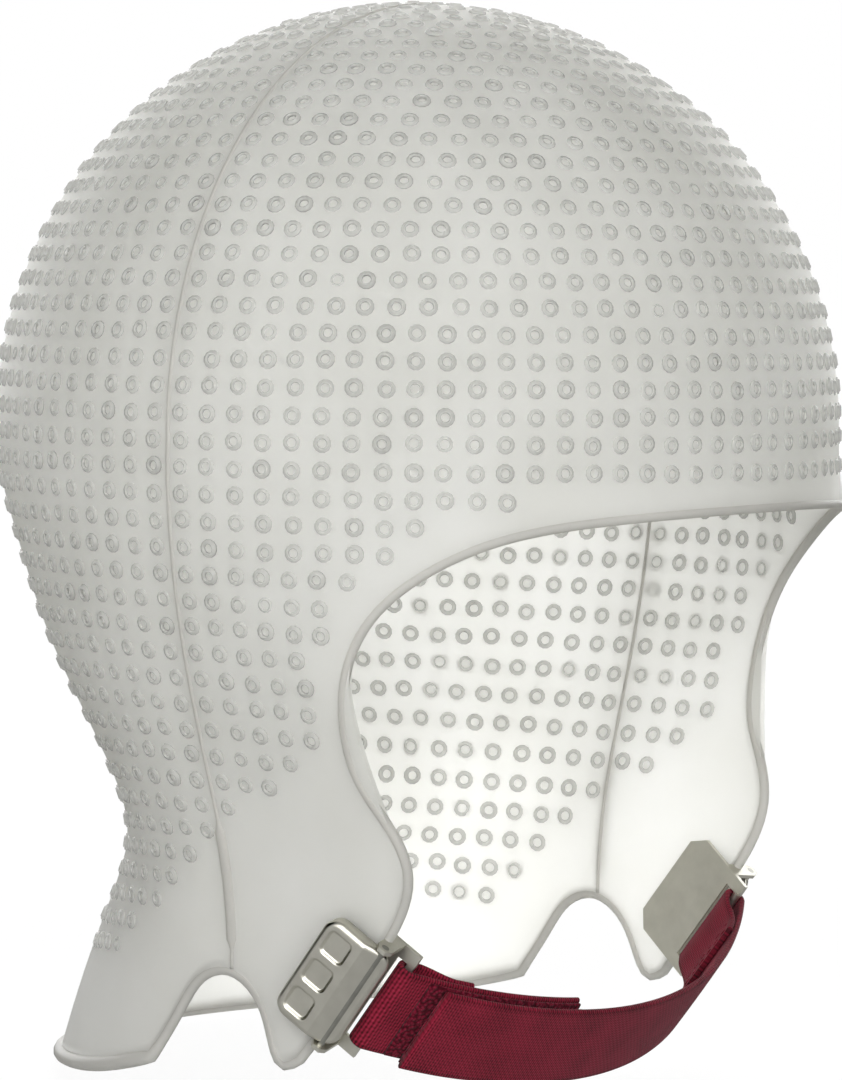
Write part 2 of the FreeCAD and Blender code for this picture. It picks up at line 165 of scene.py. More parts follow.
def make_piece(
    name: str,
    points: Array,
    faces: Sequence[Array],
    finish: bpy.types.Material,
    body: str,
    replaces: Iterable[str] = (),
    uv: Optional[Array] = None,
    flip: Optional[bool] = None,
) -> bpy.types.Object:
    """Puts one closed surface into the scene, facing outwards, and gives it its body and slot.

    Args:
        name: name of the piece.
        points: vertices in millimetres.
        faces: arrays of vertex numbers, one array for each number of corners.
        finish: material of the piece.
        body: moving body it belongs to.
        replaces: CAD nodes that it stands for.
        uv: place of each vertex on the flat cloth, in millimetres, where the finish needs it.
        flip: turns the faces round; left out, the enclosed volume decides.

    Returns:
        The new object.
    """
    turn = enclosed(points, faces) < 0 if flip is None else flip
    faces = [group[:, ::-1] if turn else group for group in faces if len(group)]
    mesh = bpy.data.meshes.new(name)
    mesh.from_pydata((points * MM).tolist(), [], [f for group in faces for f in group.tolist()])
    mesh.polygons.foreach_set("use_smooth", np.ones(len(mesh.polygons), bool))
    if uv is not None:
        corner = np.zeros(len(mesh.loops), np.int32)
        mesh.loops.foreach_get("vertex_index", corner)
        layer = mesh.uv_layers.new(name="Cloth")
        layer.data.foreach_set("uv", uv[corner].astype(np.float32).ravel())
    mesh.update()
    piece = bpy.data.objects.new(name, mesh)
    bpy.context.scene.collection.objects.link(piece)
    mesh.materials.append(finish)
    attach(piece, body)
    nodes = list(replaces)
    if nodes:
        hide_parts(*nodes)
    LOG.info("%s: %d faces on %s", name, len(mesh.polygons), body)
    return piece


def tube(
    path: Array, side: Array, up: Array, profile: Array, closed: bool
) -> Tuple[Array, List[Array]]:
    """Profile carried along a path: point = path + side * u + up * v.

    Args:
        path: middle line.
        side: unit direction of the profile's first coordinate at each path point.
        up: unit direction of its second coordinate.
        profile: outline for each path point (path, outline, 2), or one outline for all of them.
        closed: joins the end of the path to its start; otherwise both ends are capped.

    Returns:
        Points and faces of a closed surface.
    """
    outline = np.broadcast_to(profile, (len(path),) + profile.shape[-2:])
    points = path[:, None] + side[:, None] * outline[..., :1] + up[:, None] * outline[..., 1:]
    rows, columns = points.shape[:2]
    points = points.reshape(-1, 3)
    if closed:
        return points, [grid_quads(rows + 1, columns, True) % len(points)]
    first = np.arange(columns)
    last = first + (rows - 1) * columns
    count = len(points)
    middle = [points[first].mean(0), points[last].mean(0)]
    points = np.concatenate([points, middle])
    return points, [
        grid_quads(rows, columns, True),
        np.concatenate([fan(count, first[::-1]), fan(count + 1, last)]),
    ]


# ---------------------------------------------------------------------------------- finishes


def linear(hex_colour: str, alpha: float = 1.0) -> Tuple[float, float, float, float]:
    """Scene-linear colour of an sRGB hex value such as "8B2037"."""
    parts = [int(hex_colour[k : k + 2], 16) / 255 for k in (0, 2, 4)]
    red, green, blue = (p / 12.92 if p <= 0.04045 else ((p + 0.055) / 1.055) ** 2.4 for p in parts)
    return red, green, blue, alpha


def add_node(
    tree: Any,
    kind: str,
    inputs: Optional[Dict[Any, Any]] = None,
    stops: Sequence[Tuple[float, str]] = (),
    **settings: Any,
) -> Any:
    """Adds one shader node with its settings and links.

    Args:
        tree: node tree it goes into.
        kind: node type.
        inputs: for each input, by name or number, a value, an output socket, or a node whose
            first output is meant.
        stops: position and hex colour of each stop of a colour ramp.
        settings: properties of the node.

    Returns:
        The node.
    """
    node = tree.nodes.new(kind)
    for key, value in settings.items():
        setattr(node, key, value)
    for key, value in (inputs or {}).items():
        source = value.outputs[0] if isinstance(value, bpy.types.Node) else value
        if isinstance(source, bpy.types.NodeSocket):
            tree.links.new(source, node.inputs[key])
        else:
            node.inputs[key].default_value = source
    for index, (position, colour) in enumerate(stops):
        elements = node.color_ramp.elements
        stop = elements[index] if index < 2 else elements.new(position)
        stop.position, stop.color = position, linear(colour)
    return node


def new_material(name: str) -> Tuple[bpy.types.Material, Any]:
    """Empty material and its node tree."""
    material = bpy.data.materials.new(name)
    material.use_nodes = True
    material.node_tree.nodes.clear()
    return material, material.node_tree


@dataclass(frozen=True)
class MouldedSilicone:
    """Translucent platinum silicone, compression moulded in a satin cavity.

    It scatters light through its wall, so that it glows where it is lit from behind, and has a soft
    waxy gloss with a faint cloudiness from the filler.
    """

    name: str
    dark: str
    light: str
    through: float
    clear: float = 0.0
    roughness: float = 0.34
    cloud_mm: float = 26.0
    grain_mm: float = 0.9

    def material(self) -> bpy.types.Material:
        """Builds the material."""
        material, tree = new_material(self.name)
        place = add_node(tree, "ShaderNodeTexCoord").outputs["Object"]
        cloud = add_node(
            tree,
            "ShaderNodeTexNoise",
            {"Vector": place, "Scale": 1 / (self.cloud_mm * MM), "Detail": 3.0},
        )
        tint = add_node(
            tree,
            "ShaderNodeValToRGB",
            {"Fac": cloud.outputs["Fac"]},
            stops=((0.3, self.dark), (0.7, self.light)),
        )
        grain = add_node(
            tree,
            "ShaderNodeTexNoise",
            {"Vector": place, "Scale": 1 / (self.grain_mm * MM), "Detail": 4.0},
        )
        relief = add_node(
            tree,
            "ShaderNodeBump",
            {"Height": grain.outputs["Fac"], "Strength": 0.12, "Distance": 0.05 * MM},
        )
        skin = add_node(
            tree,
            "ShaderNodeBsdfPrincipled",
            {
                "Base Color": tint.outputs["Color"],
                "Roughness": self.roughness,
                "IOR": 1.41,
                "Specular IOR Level": 0.22,
                "Normal": relief.outputs["Normal"],
            },
        )
        glow = add_node(
            tree,
            "ShaderNodeBsdfTranslucent",
            {"Color": tint.outputs["Color"], "Normal": relief.outputs["Normal"]},
        )
        both = add_node(
            tree,
            "ShaderNodeMixShader",
            {0: self.through, 1: skin.outputs["BSDF"], 2: glow.outputs["BSDF"]},
        )
        if self.clear:
            straight = add_node(tree, "ShaderNodeBsdfTransparent", {"Color": linear("FFFFFF")})
            both = add_node(
                tree,
                "ShaderNodeMixShader",
                {0: self.clear, 1: both.outputs["Shader"], 2: straight.outputs["BSDF"]},
            )
        add_node(tree, "ShaderNodeOutputMaterial", {"Surface": both.outputs["Shader"]})
        return material


@dataclass(frozen=True)
class PlatedSteel:
    """Stamped steel with satin nickel plating.

    The drawn sheet keeps fine scratches along one direction, so its highlights are stretched and
    soft, and the plating is a little warm.
    """

    name: str
    dark: str
    light: str
    roughness: float
    scratch_mm: float = 0.35
    tarnish_mm: float = 5.0

    def material(self) -> bpy.types.Material:
        """Builds the material."""
        material, tree = new_material(self.name)
        place = add_node(tree, "ShaderNodeTexCoord").outputs["Object"]
        drawn = add_node(
            tree, "ShaderNodeMapping", {"Vector": place, "Scale": (1.0, 0.25, 0.25)}
        )
        scratch = add_node(
            tree,
            "ShaderNodeTexNoise",
            {"Vector": drawn.outputs["Vector"], "Scale": 1 / (self.scratch_mm * MM), "Detail": 5.0},
        )
        tarnish = add_node(
            tree,
            "ShaderNodeTexNoise",
            {"Vector": place, "Scale": 1 / (self.tarnish_mm * MM), "Detail": 3.0},
        )
        tint = add_node(
            tree,
            "ShaderNodeValToRGB",
            {"Fac": tarnish.outputs["Fac"]},
            stops=((0.3, self.dark), (0.65, self.light)),
        )
        matt = add_node(
            tree,
            "ShaderNodeMapRange",
            {
                "Value": scratch.outputs["Fac"],
                "To Min": self.roughness * 0.75,
                "To Max": self.roughness * 1.3,
            },
        )
        relief = add_node(
            tree,
            "ShaderNodeBump",
            {"Height": scratch.outputs["Fac"], "Strength": 0.15, "Distance": 0.02 * MM},
        )
        metal = add_node(
            tree,
            "ShaderNodeBsdfPrincipled",
            {
                "Base Color": tint.outputs["Color"],
                "Metallic": 1.0,
                "Roughness": matt.outputs["Result"],
                "Normal": relief.outputs["Normal"],
            },
        )
        add_node(tree, "ShaderNodeOutputMaterial", {"Surface": metal.outputs["BSDF"]})
        return material


@dataclass(frozen=True)
class WovenTape:
    """Polyester narrow webbing, loom woven and piece dyed.

    Weft ribs cross the width and fine diagonal floats break them up, so it looks matt; its colour
    has painted shade in the furrows and a painted highlight on the ribs, and the selvages are
    denser and darker. The cloth coordinates are in millimetres.
    """

    name: str
    # the first colour is painted shade in the weave's furrows, the last a painted highlight on its
    # ribs, the middle the dyed thread
    furrow_shade: str
    thread: str
    lit: str
    rib_mm: float = 0.62
    warp_mm: float = 0.8
    float_mm: float = 1.3
    wear_mm: float = 7.0
    half_width: float = 10.0
    selvage: Tuple[float, float] = (1.5, 0.9)

    def material(self) -> bpy.types.Material:
        """Builds the material; its ribs are drawn a third coarser than real so that they show."""
        material, tree = new_material(self.name)
        place = add_node(tree, "ShaderNodeUVMap", uv_map="Cloth")
        apart = add_node(tree, "ShaderNodeSeparateXYZ", {"Vector": place.outputs["UV"]})
        across, along = apart.outputs["X"], apart.outputs["Y"]
        diagonal = add_node(tree, "ShaderNodeMath", {0: across, 1: along}, operation="ADD")
        waves = []
        for run, pitch, share in (
            (along, self.rib_mm, 0.55),
            (across, self.warp_mm, 0.2),
            (diagonal, self.float_mm, 0.2),
        ):
            turn = add_node(
                tree, "ShaderNodeMath", {0: run, 1: 2 * math.pi / pitch}, operation="MULTIPLY"
            )
            wave = add_node(tree, "ShaderNodeMath", {0: turn}, operation="SINE")
            waves.append(
                add_node(tree, "ShaderNodeMath", {0: wave, 1: share}, operation="MULTIPLY")
            )
        weave = add_node(tree, "ShaderNodeMath", {0: waves[0], 1: waves[1]}, operation="ADD")
        weave = add_node(tree, "ShaderNodeMath", {0: weave, 1: waves[2]}, operation="ADD")
        aside = add_node(tree, "ShaderNodeMath", {0: across}, operation="ABSOLUTE")
        edge = add_node(
            tree,
            "ShaderNodeMapRange",
            {
                "Value": aside,
                "From Min": self.half_width - self.selvage[0],
                "From Max": self.half_width - self.selvage[1],
                "To Min": 0.0,
                "To Max": 0.35,
            },
        )
        spot = add_node(tree, "ShaderNodeTexCoord").outputs["Object"]
        wear = add_node(
            tree,
            "ShaderNodeTexNoise",
            {"Vector": spot, "Scale": 1 / (self.wear_mm * MM), "Detail": 3.0},
        )
        worn = add_node(
            tree, "ShaderNodeMath", {0: weave, 1: wear.outputs["Fac"]}, operation="ADD"
        )
        level = add_node(
            tree, "ShaderNodeMath", {0: worn, 1: edge.outputs["Result"]}, operation="SUBTRACT"
        )
        spread = add_node(
            tree, "ShaderNodeMapRange", {"Value": level, "From Min": -0.5, "From Max": 1.4}
        )
        # painted shade in the low furrows of the weave and a painted highlight on its high ribs:
        # the same weave that drives the bump picks the colour, shifted by random wear and the
        # darker selvages
        tint = add_node(
            tree,
            "ShaderNodeValToRGB",
            {"Fac": spread.outputs["Result"]},
            stops=((0.05, self.furrow_shade), (0.5, self.thread), (0.95, self.lit)),
        )
        relief = add_node(
            tree, "ShaderNodeBump", {"Height": weave, "Strength": 0.6, "Distance": 0.12 * MM}
        )
        cloth = add_node(
            tree,
            "ShaderNodeBsdfPrincipled",
            {
                "Base Color": tint.outputs["Color"],
                "Roughness": 0.8,
                "Specular IOR Level": 0.15,
                "Sheen Weight": 0.04,
                "Normal": relief.outputs["Normal"],
            },
        )
        add_node(tree, "ShaderNodeOutputMaterial", {"Surface": cloth.outputs["BSDF"]})
        return material


@dataclass(frozen=True)
class PileTape:
    """Knitted loop pile, moulded hooks or, finer, sewing thread: dark, matt, tiny fibres."""

    name: str
    dark: str
    light: str
    loop_mm: float = 0.7

    def material(self) -> bpy.types.Material:
        """Builds the material."""
        material, tree = new_material(self.name)
        place = add_node(tree, "ShaderNodeTexCoord")
        loops = add_node(
            tree,
            "ShaderNodeTexVoronoi",
            {"Vector": place.outputs["Object"], "Scale": 1 / (self.loop_mm * MM)},
        )
        # painted shade: the Voronoi distance that raises each loop in the bump also picks the
        # colour, light on the loop tops and dark in the hollows between them
        tint = add_node(
            tree,
            "ShaderNodeValToRGB",
            {"Fac": loops.outputs["Distance"]},
            stops=((0.1, self.light), (0.7, self.dark)),
        )
        relief = add_node(
            tree,
            "ShaderNodeBump",
            {"Height": loops.outputs["Distance"], "Strength": 0.9, "Distance": 0.3 * MM},
            invert=True,
        )
        pile = add_node(
            tree,
            "ShaderNodeBsdfPrincipled",
            {
                "Base Color": tint.outputs["Color"],
                "Roughness": 0.9,
                "Specular IOR Level": 0.1,
                "Sheen Weight": 0.05,
                "Normal": relief.outputs["Normal"],
            },
        )
        add_node(tree, "ShaderNodeOutputMaterial", {"Surface": pile.outputs["BSDF"]})
        return material


# ---------------------------------------------------------------------------------- the cap


@dataclass
class CapForm:
    """The cap's outer surface: half an ellipsoid above level 0 and lofted sections below it."""

    dome_height: float = 87.5
    skirt: Tuple[Tuple[float, ...], ...] = (
        (-138.0, 70.0, 77.5, 76.0, 3.6),
        (-112.0, 67.5, 67.0, 79.0, 3.6),
        (-95.0, 68.0, 57.0, 82.0, 3.6),
        (-82.0, 70.5, 51.0, 84.0, 3.6),
        (-68.0, 75.0, 55.5, 86.0, 3.4),
        (-45.0, 82.5, 70.0, 88.0, 2.7),
        (-22.0, 87.5, 80.0, 89.0, 2.2),
        (-5.0, 89.0, 85.8, 88.6, 2.0),
        (0.0, 89.0, 86.0, 88.5, 2.0),
    )

    def section(self, height: Array, behind: Array) -> Tuple[Array, Array, Array]:
        """Half width, length and squareness of the section at a height.

        Args:
            height: heights, where those above the equator read as the equator.
            behind: true on the back half.

        Returns:
            Half width a, length b and power p of |x/a|^p + |y/b|^p = 1.
        """
        table = np.asarray(self.skirt)
        flat = spline(table[:, 0], table[:, 1:], np.minimum(height, 0).ravel())
        values = flat.reshape(height.shape + (4,))
        length = np.where(behind, values[..., 1], values[..., 2])
        return values[..., 0], length, np.where(behind, 2.0, values[..., 3])

    def point(self, turn: Array, height: Array) -> Array:
        """Surface point: x = a cos(t) reach, y = b sin(t) reach, both shrunk on the dome.

        reach = (|cos t|^p + |sin t|^p)^(-1/p), and the dome shrinks by sqrt(1 - (z / height)^2).
        """
        turn, height = np.broadcast_arrays(turn, height)
        behind = np.sin(turn) >= 0
        width, length, power = self.section(height, behind)
        cos, sin = np.cos(turn), np.sin(turn)
        reach = (np.abs(cos) ** power + np.abs(sin) ** power) ** (-1 / power)
        rise = np.clip(height / self.dome_height, 0, 1)
        reach = reach * np.sqrt(1 - rise**2)
        return np.stack([width * cos * reach, length * sin * reach, height], -1)

    def side_point(self, y: Array, height: Array) -> Array:
        """Surface point on the +X half with a given y: x = a (shrink^p - |y/b|^p)^(1/p)."""
        width, length, power = self.section(height, y >= 0)
        shrink = np.sqrt(1 - np.clip(height / self.dome_height, 0, 1) ** 2)
        rest = np.clip(shrink**power - np.abs(y / length) ** power, 0, None)
        return np.stack([width * rest ** (1 / power), y, height], -1)

    def normal(self, points: Array) -> Array:
        """Outward unit normal: slope of |x/a|^p + |y/b|^p + (z/height)^2 on the dome or skirt."""
        lift = 0.05
        x, y, z = points[..., 0], points[..., 1], points[..., 2]

        def field(level: Array) -> Tuple[Array, Array, Array, Array]:
            """Value of the field with its sizes."""
            width, length, power = self.section(level, y >= 0)
            return np.abs(x / width) ** power + np.abs(y / length) ** power, width, length, power

        _, width, length, power = field(z)
        slope_x = power * np.abs(x / width) ** (power - 1) * np.sign(x) / width
        slope_y = power * np.abs(y / length) ** (power - 1) * np.sign(y) / length
        skirt_z = (field(z)[0] - field(z - lift)[0]) / lift
        slope_z = np.where(z > 0, 2 * z / self.dome_height**2, skirt_z)
        return unit(np.stack([slope_x, slope_y, slope_z], -1))


@dataclass
class CapOutline:
    """Lower edge of the cap as (y, z) runs: round the face, over the ear, and along the hem."""

    face: Tuple[Tuple[float, float], ...] = (
        (-96.0, -13.0), (-80.0, -15.0), (-66.0, -18.5), (-54.0, -25.5), (-45.0, -34.5),
        (-40.0, -45.0), (-38.5, -56.0), (-40.0, -66.0), (-44.5, -74.5), (-47.0, -83.0),
        (-45.0, -91.0), (-40.0, -99.0), (-31.0, -110.5), (-22.0, -122.0),
    )
    ear: Tuple[Tuple[float, float], ...] = (
        (-22.0, -122.0), (-18.0, -123.5), (-15.0, -119.0), (-12.5, -113.0), (-8.5, -108.5),
        (-3.0, -106.5), (3.0, -108.5), (9.0, -116.0), (16.0, -126.0),
    )
    hem: Tuple[Tuple[float, float], ...] = (
        (16.0, -126.0), (32.0, -130.0), (52.0, -132.8), (72.0, -134.4), (96.0, -135.0),
    )
    fine: int = 6000

    def half(self, form: CapForm, columns: int) -> Tuple[Array, Array]:
        """Edge on the +X half, from the middle of the forehead to the middle of the nape.

        Args:
            form: surface that the edge lies on.
            columns: number of points wanted.

        Returns:
            The points, and each one's share of the hem lip (0 on the face edge, 1 on the hem).
        """
        runs = [smooth_chain(run, self.fine) for run in (self.face, self.ear, self.hem)]
        flat = np.concatenate(runs)
        lip = np.repeat([0.0, 0.0, 1.0], self.fine)
        _, length, _ = form.section(flat[:, 1], flat[:, 0] >= 0)
        inside = np.abs(flat[:, 0]) <= length
        flat, lip = flat[inside], lip[inside]
        line = form.side_point(flat[:, 0], flat[:, 1])
        line[0, 0] = line[-1, 0] = 0.0
        wide = even_steps(np.concatenate([line, lip[:, None]], 1), columns)
        return wide[:, :3], wide[:, 3]


@dataclass
class CapShell:
    """Silicone moulding: wall, rim bead, hem lip, mould seam and rows of hook dimples."""

    form: CapForm
    outline: CapOutline
    wall: float = 1.5
    columns: int = 181
    dome_rows: int = 44
    skirt_rows: int = 46
    rim_radius: float = 1.05
    lip_radius: float = 1.55
    lip_shift: float = 0.7
    seam_y: float = -5.0
    seam_low: float = -106.0
    seam_width: float = 0.9
    seam_height: float = 0.3
    seam_sunk: float = 0.4
    seam_inside: Tuple[float, float] = (0.42, 0.32)
    rib_width: float = 1.5
    rib_height: float = 0.4
    rib_top: Tuple[float, float] = (-76.0, -79.0)
    rib_foot: Tuple[float, float] = (-102.0, -100.0)
    dimple_pitch: float = 5.8
    pitch_spread: float = 0.25
    row_pitch: float = 5.3
    row_radius: float = 88.0
    dome_rows_from: float = 4.1
    dome_rows_to: float = 134.0
    skirt_row_top: float = -1.1
    skirt_row_count: int = 22
    row_middle: float = 5.75
    row_spread: float = 0.6
    margin: float = 6.2
    row_low: float = -109.0
    cheek_line: Tuple[Tuple[float, float], ...] = (
        (58.0, -40.0), (62.0, -32.0), (68.0, -22.0), (74.0, -10.0),
        (82.0, 0.0), (90.0, 10.0), (98.0, 19.0), (108.0, 30.0),
    )
    left_cheek_shift: float = 9.0
    jitter: float = 0.12

    def column_turns(self, edge: Array) -> Tuple[Array, Array]:
        """Turn of each column at the equator and at the edge, both measured about Z.

        The edge's own turn goes forward and back again under the cheek, so the equator's turn grows
        by the forward part only, smoothed and scaled to a quarter turn each way.
        """
        width, length, _ = self.form.section(edge[:, 2], edge[:, 1] >= 0)
        low = np.arctan2(edge[:, 1] / length, edge[:, 0] / width)
        low[0], low[-1] = -math.pi / 2, math.pi / 2
        grow = np.maximum(np.gradient(low), 0.35 * math.pi / self.columns)
        kernel = np.hanning(31)
        padded = np.pad(grow, 15, mode="edge")
        grow = np.convolve(padded, kernel / kernel.sum(), mode="valid")
        rise = np.concatenate([[0.0], np.cumsum((grow[1:] + grow[:-1]) / 2)])
        return -math.pi / 2 + math.pi * rise / rise[-1], low

    def build(
        self, finish: bpy.types.Material, thick: bpy.types.Material, ring: bpy.types.Material
    ) -> None:
        """Makes every part of the moulding."""
        edge, lip = self.outline.half(self.form, self.columns)
        self.make_wall(edge, finish)
        # thick and ring are darker copies of the wall's silicone: painted shade on the rim bead,
        # seam and dimples, standing in for light lost in thicker silicone
        self.make_rim(edge, lip, thick)
        self.make_seam(thick)
        self.make_dimples(edge, ring)

    def make_wall(self, edge: Array, finish: bpy.types.Material) -> None:
        """Wall: columns fall from the crown over the dome and sweep down to the edge.

        On the dome z = height cos(share), and on the skirt z = edge z * w with the turn going from
        the equator's to the edge's by w^3. The inner face is the outer one moved in by the wall.
        """
        high, low = self.column_turns(edge)
        rise = np.linspace(math.pi / 2, 0, self.dome_rows)[1:]
        dome = self.form.point(high[None, :], (self.form.dome_height * np.sin(rise))[:, None])
        w = np.linspace(0, 1, self.skirt_rows)[1:, None]
        skirt = self.form.point(high + (low - high) * w**3, edge[:, 2] * w)
        skirt[-1] = edge
        half = np.concatenate([dome, skirt])
        mirror = half[:, -2:0:-1] * [-1, 1, 1]
        outer = np.concatenate([half, mirror], 1)
        inner = outer - self.form.normal(outer) * self.wall
        rows, around = outer.shape[:2]
        count = rows * around
        crown = np.array([[0, 0, self.form.dome_height], [0, 0, self.form.dome_height - self.wall]])
        points = np.concatenate([outer.reshape(-1, 3), inner.reshape(-1, 3), crown])
        ring = np.arange(around)
        last = ring + (rows - 1) * around
        rim = np.stack([last, np.roll(last, -1), np.roll(last, -1) + count, last + count], 1)
        faces = [
            grid_quads(rows, around, True),
            grid_quads(rows, around, True, count)[:, ::-1],
            rim[:, ::-1],
        ]
        caps = [fan(2 * count, ring)[:, ::-1], fan(2 * count + 1, ring + count)]
        make_piece(
            "cap_wall", points, [np.concatenate(faces), np.concatenate(caps)], finish, "cap",
            ["cap_shell"],
        )

    def make_rim(self, edge: Array, lip: Array, finish: bpy.types.Material) -> None:
        """Round bead along the whole lower edge, growing to a curled lip along the hem."""
        path = np.concatenate([edge, edge[-2:0:-1] * [-1, 1, 1]])
        share = np.concatenate([lip, lip[-2:0:-1]])
        kernel = np.hanning(9)
        share = np.convolve(np.pad(share, 4, mode="wrap"), kernel / kernel.sum(), mode="valid")
        normal = self.form.normal(path)
        along = unit(np.roll(path, -1, 0) - np.roll(path, 1, 0))
        side = unit(np.cross(along, normal))
        radius = self.rim_radius + (self.lip_radius - self.rim_radius) * share
        centre = path + normal * (-self.wall / 2 + self.lip_shift * share)[:, None]
        turn = np.linspace(0, 2 * math.pi, 13)[:-1]
        circle = np.stack([np.cos(turn), np.sin(turn)], 1)
        points, faces = tube(centre, side, normal, circle * radius[:, None, None], True)
        make_piece("cap_rim", points, faces, finish, "cap")

    def make_seam(self, finish: bpy.types.Material) -> None:
        """Mould seam: a low half-round line from ear to ear over the crown.

        It widens to a rib below the ears: width = seam + rib width * share, and so its height.
        """
        front = self.form.skirt[-1][3]
        top = math.asin(math.sqrt(1 - (self.seam_y / front) ** 2) - 1e-6)
        dome = self.form.dome_height * np.sin(np.linspace(top, 0, 90))
        height = np.concatenate([dome, np.linspace(0, self.seam_low, 110)[1:]])
        line = self.form.side_point(np.full(len(height), self.seam_y), height)
        path = np.concatenate([line[::-1], line[1:] * [-1, 1, 1]])
        normal = self.form.normal(path)
        along = unit(np.gradient(path, axis=0))
        side = unit(np.cross(along, normal))
        z = path[:, 2]
        rib = step(*self.rib_top, z) * step(*self.rib_foot, z)
        width = (self.seam_width + self.rib_width * rib)[:, None]
        tall = (self.seam_height + self.rib_height * rib)[:, None]
        turn = np.linspace(0, math.pi, 7)
        u = np.concatenate([width / 2 * np.cos(turn), -width / 2, width / 2], 1)
        sunk = np.full_like(width, -self.seam_sunk)
        v = np.concatenate([tall * np.sin(turn), sunk, sunk], 1)
        points, faces = tube(path, side, normal, np.stack([u, v], -1), False)
        make_piece("cap_seam", points, faces, finish, "cap")
        inside = path - normal * (self.wall + 0.1)
        turn = np.linspace(0, 2 * math.pi, 9)[:-1]
        half_wide, half_tall = self.seam_inside
        line = np.stack([half_wide * np.cos(turn), half_tall * np.sin(turn)], 1)
        points, faces = tube(inside, side, normal, line, False)
        make_piece("cap_seam_inside", points, faces, finish, "cap")

    def dimple_rows(self, side: Side) -> List[Array]:
        """Lines that the dimples follow on one half, each from the face round to the nape.

        Dome rows are level: z = height sin(rise). Row j below the equator falls by
        j (middle + spread cos(turn) * side), so the rows open out on the wearer's left.
        """
        turn = np.linspace(-math.pi / 2, math.pi / 2, 721)
        rise = np.arange(self.dome_rows_from, self.dome_rows_to, self.row_pitch) / self.row_radius
        rows = [np.full(len(turn), self.form.dome_height * math.sin(r)) for r in rise]
        drop = self.row_middle + self.row_spread * np.cos(turn) * side.value
        rows += [self.skirt_row_top - j * drop for j in range(self.skirt_row_count)]
        return [self.form.point(turn, height) * [side.value, 1, 1] for height in rows]

    def dimple_centres(self, edge: Array, front: bool) -> Array:
        """Centres of the dimples on one side of the seam, both halves of the cap.

        Each row is split at the seam, and the whole number of dimples nearest to the pitch is
        spread evenly between the seam and the middle of the face or nape. Rows stop short of the
        edge, and those under the cheeks stop at a line that slants back to the nape.
        """
        found = []
        brow = edge[: len(edge) // 2]
        brow = brow[np.maximum.accumulate(-brow[:, 2]) <= -brow[:, 2]]
        for side in Side:
            pitch = self.dimple_pitch + self.pitch_spread * (1 + side.value)
            for line in self.dimple_rows(side):
                ahead = line[:, 1] <= self.seam_y
                line = line[ahead][::-1] if front else line[~ahead]
                if len(line) < 3:
                    continue
                length = run_length(line)
                count = max(int(round(length[-1] / pitch)), 1)
                wanted = (np.arange(count) + 0.5) * length[-1] / count
                found.append(np.stack([np.interp(wanted, length, line[:, k]) for k in range(3)], 1))
        centres = np.concatenate(found)
        x, y, z = np.abs(centres[:, 0]), centres[:, 1], centres[:, 2]
        folded = np.stack([x, y, z], 1)
        near = np.linalg.norm(folded[:, None] - edge[None, ::2], axis=2).min(1)
        depth, slant = np.array(self.cheek_line).T
        limit = np.interp(-z, depth, slant) - self.left_cheek_shift * (centres[:, 0] > 0)
        opening = np.interp(-z, -brow[:, 2], brow[:, 1], left=-math.inf)
        keep = (near > self.margin) & (y > opening)
        keep &= (z > self.row_low) & ((z > -depth[0]) | (y > limit))
        return centres[keep]

    def make_dimples(self, edge: Array, finish: bpy.types.Material) -> None:
        """Hook dimples: a raised ring with a thin floor, on the outside, and its low twin inside.

        One ring is turned about the wall's normal from a closed profile of (radius, height).
        """
        outside = np.array(
            [(1.85, -0.2), (1.72, 0.2), (1.35, 0.27), (1.18, 0.55), (0.95, 0.45), (0.85, -0.2)]
        )
        inside = np.array(
            [(2.05, -0.2), (1.9, 0.14), (1.5, 0.16), (1.3, 0.4), (1.1, 0.3), (0.98, -0.2)]
        )
        chance = np.random.default_rng(CHANCE_SEED)
        for front in (True, False):
            centres = self.dimple_centres(edge, front)
            centres = centres + chance.normal(0.0, self.jitter, centres.shape)
            normal = self.form.normal(centres)
            for label, profile, sign in (("dimples", outside, 1.0), ("dimple_wells", inside, -1.0)):
                base = centres if sign > 0 else centres - normal * self.wall
                name = "%s_%s" % (label, "front" if front else "back")
                # the rings' finish is a darker copy of the wall's silicone: painted shade for the
                # thicker silicone of each dimple
                self.make_rings(name, base, normal * sign, profile, finish)

    def make_rings(
        self, name: str, centres: Array, normal: Array, profile: Array, finish: bpy.types.Material
    ) -> None:
        """Copies one turned ring to every centre, as closed rings in one mesh."""
        turn = np.linspace(0, 2 * math.pi, 13)[:-1]
        across = unit(np.cross(normal, [0.0, 0.31, 0.95]))
        beside = np.cross(normal, across)
        spread = across[:, None] * np.cos(turn)[:, None] + beside[:, None] * np.sin(turn)[:, None]
        rings = (
            centres[:, None, None]
            + spread[:, None] * profile[:, :1, None]
            + normal[:, None, None] * profile[:, 1:, None]
        )
        each = rings.shape[1] * rings.shape[2]
        quads = grid_quads(len(profile) + 1, len(turn), True) % each
        start = (np.arange(len(centres)) * each)[:, None, None]
        faces = [(quads[None] + start).reshape(-1, 4)]
        make_piece(name, rings.reshape(-1, 3), faces, finish, "cap")


# --------------------------------------------------------------------------- clips and straps


